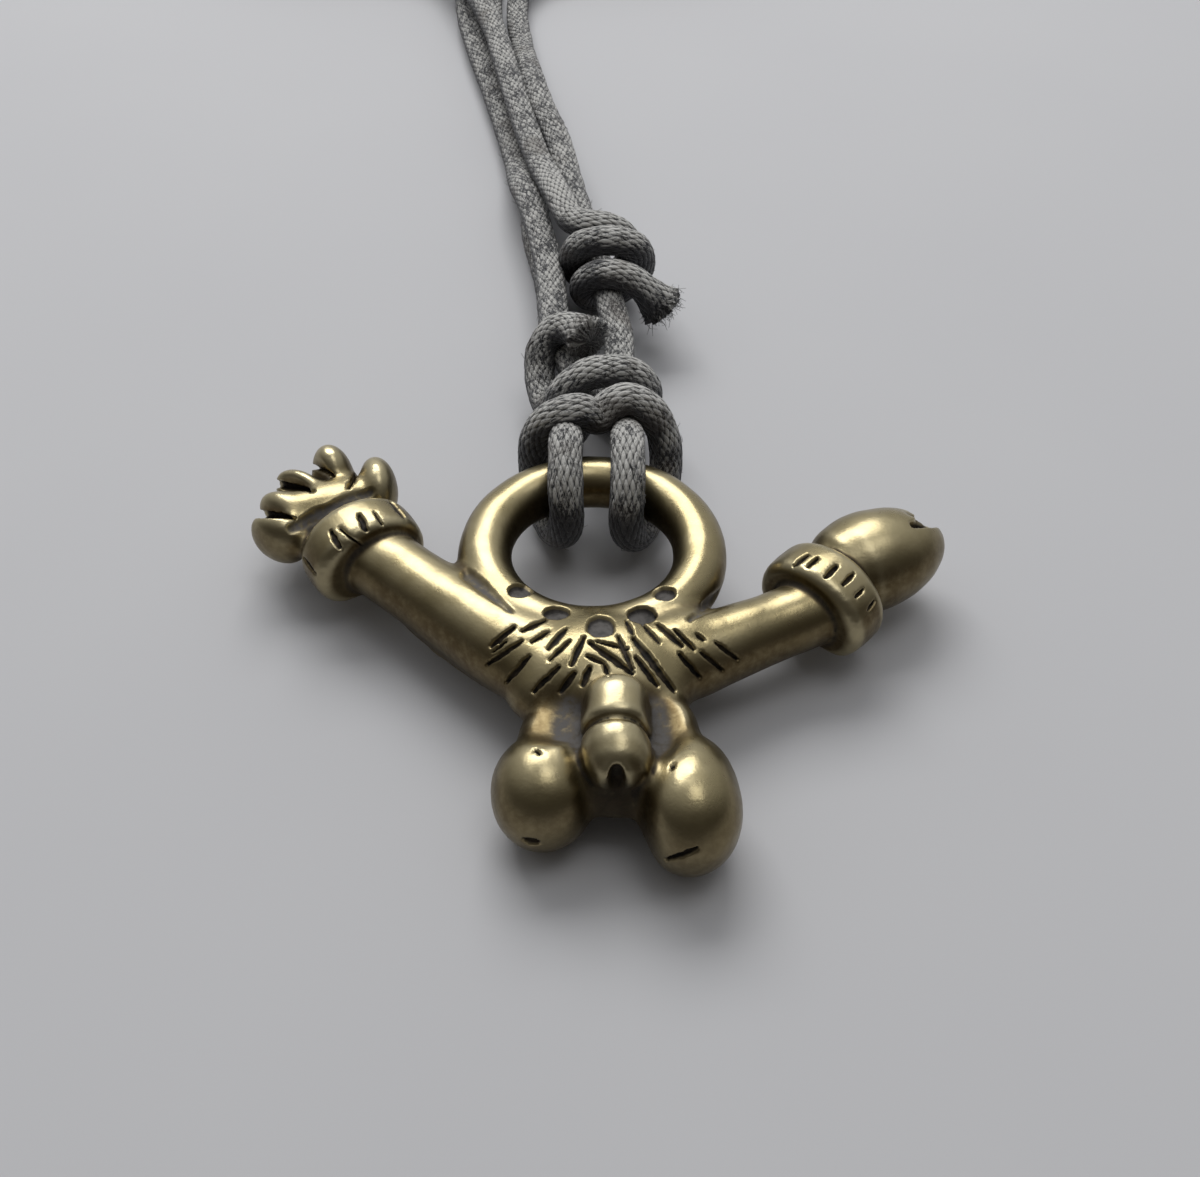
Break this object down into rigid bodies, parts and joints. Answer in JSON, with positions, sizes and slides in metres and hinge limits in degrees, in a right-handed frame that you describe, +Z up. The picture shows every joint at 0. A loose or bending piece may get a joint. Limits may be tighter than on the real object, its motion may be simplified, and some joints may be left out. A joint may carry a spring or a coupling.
{
  "type": "phallus amulet",
  "caption": "Cast pendant amulet with a suspension ring, a fig-sign hand on one arm, a glans on the other and male genitals below, hitched on an adjustable cord with sliding knots.",
  "frame": {"origin": "on the surface that the amulet lies on, under the middle of the casting's box", "axes": "+X towards the glans at the end of the right arm, +Y towards the suspension ring and its cord, +Z up out of the front of the amulet"},
  "size_m": [0.0593, 0.1332, 0.008],
  "materials": {
    "bronze": "polished high parts with dark patina in the recesses",
    "waxed_cotton": "braided and waxed, dull",
    "tie_cotton": "dull"
  },
  "bodies": {
    "cord": {"cow_hitch": "waxed_cotton", "left_strand": "waxed_cotton", "left_feed": "waxed_cotton", "right_strand": "waxed_cotton", "right_feed": "waxed_cotton", "left_coil": "waxed_cotton", "right_coil": "waxed_cotton", "left_coil_tie": "tie_cotton", "right_coil_tie": "tie_cotton"},
    "amulet": {"amulet_casting": "bronze"},
    "upper_knot": {"upper_sliding_knot": "waxed_cotton"},
    "lower_knot": {"lower_sliding_knot": "waxed_cotton"}
  },
  "joints": [
    {"name": "amulet_swing", "type": "hinge", "parent": "cord", "child": "amulet", "pos_m": [-0.00019, 0.01081, 0.00401], "axis": [-1, 0, 0], "range_deg": [0, 95]},
    {"name": "upper_knot_slide", "type": "slide", "parent": "cord", "child": "upper_knot", "axis": [-0.1961, 0.9806, 0], "range_m": [0, 0.006], "deforming": ["left_feed"]},
    {"name": "lower_knot_slide", "type": "slide", "parent": "cord", "child": "lower_knot", "axis": [0, 1, 0], "range_m": [0, 0.002], "deforming": ["right_feed", "left_strand"]}
  ]
}
